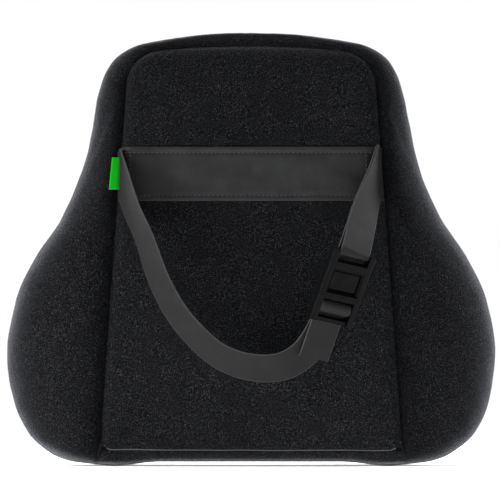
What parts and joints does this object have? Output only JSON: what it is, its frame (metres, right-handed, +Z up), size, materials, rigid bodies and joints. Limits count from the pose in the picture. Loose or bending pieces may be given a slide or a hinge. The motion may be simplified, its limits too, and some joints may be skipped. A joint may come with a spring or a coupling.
{
  "type": "lumbar support cushion",
  "caption": "Contoured foam lumbar cushion in black plush with a grey webbing loop and side-of-strap centre-release buckle for fastening round a chair back.",
  "frame": {"origin": "centre of the flat base that the cushion stands on", "axes": "+Z up from the base to the narrow top, -Y out of the back (strap) side, +Y towards the sitter, +X to the right seen from the back"},
  "size_m": [0.39, 0.1847, 0.345],
  "materials": {
    "foam": "open-cell moulded foam, matt cream",
    "liner": "thin off-white knitted liner, matt",
    "plush": "short-pile black plush velour with a faint fibre sparkle",
    "leatherette": "charcoal grained leatherette, low sheen",
    "label": "bright green woven tab, plain",
    "zip_tape": "black woven zip tape, matt",
    "zip_plastic": "black moulded zip teeth, satin",
    "zip_metal": "black lacquered metal, satin",
    "webbing": "dark grey polyester webbing, fine plain weave, slight sheen",
    "buckle_plastic": "near-black moulded acetal, satin with soft highlights",
    "button_plastic": "near-black moulded acetal, textured grip pad"
  },
  "bodies": {
    "cushion": {"foam_core": "foam", "inner_liner": "liner", "cover_wrap": "plush", "back_panel": "plush", "bottom_gusset": "plush", "back_band": "leatherette", "side_label": "label", "zip_tape_upper": "zip_tape", "zip_tape_lower": "zip_tape", "zip_teeth_upper": "zip_plastic", "zip_teeth_lower": "zip_plastic", "zip_end_stops": "zip_metal"},
    "closing_flap": {"panel_flap": "plush"},
    "slider": {"zip_slider": "zip_metal"},
    "pull": {"zip_pull": "zip_metal"},
    "strap": {"webbing_long": "webbing", "webbing_short": "webbing", "buckle_socket": "buckle_plastic"},
    "insert": {"buckle_insert": "buckle_plastic", "webbing_tail": "webbing"},
    "tongue": {"release_tongue": "button_plastic"}
  },
  "joints": [
    {"name": "strap_swing", "type": "hinge", "parent": "cushion", "child": "strap", "pos_m": [0, -0.0468, 0.2545], "axis": [-1, 0, 0], "range_deg": [0, 120]},
    {"name": "buckle_release", "type": "slide", "parent": "strap", "child": "insert", "axis": [-0.33, 0.224, -0.917], "range_m": [0, 0.022]},
    {"name": "tongue_press", "type": "hinge", "parent": "insert", "child": "tongue", "pos_m": [0.06942, -0.08248, 0.13756], "axis": [-0.8759, -0.4349, 0.209], "range_deg": [0, 4.5], "stiffness_Nm_per_rad": 0.15},
    {"name": "flap_lift", "type": "hinge", "parent": "cushion", "child": "closing_flap", "pos_m": [0, -0.045, 0.038], "axis": [-1, 0, 0], "range_deg": [0, 100]},
    {"name": "zip_slide", "type": "slide", "parent": "cushion", "child": "slider", "axis": [-1, 0, 0], "range_m": [0, 0.195]},
    {"name": "zip_pull_tilt", "type": "hinge", "parent": "slider", "child": "pull", "pos_m": [0.098, -0.0376, 0.019], "axis": [0, 0, 1], "range_deg": [0, 12]}
  ]
}
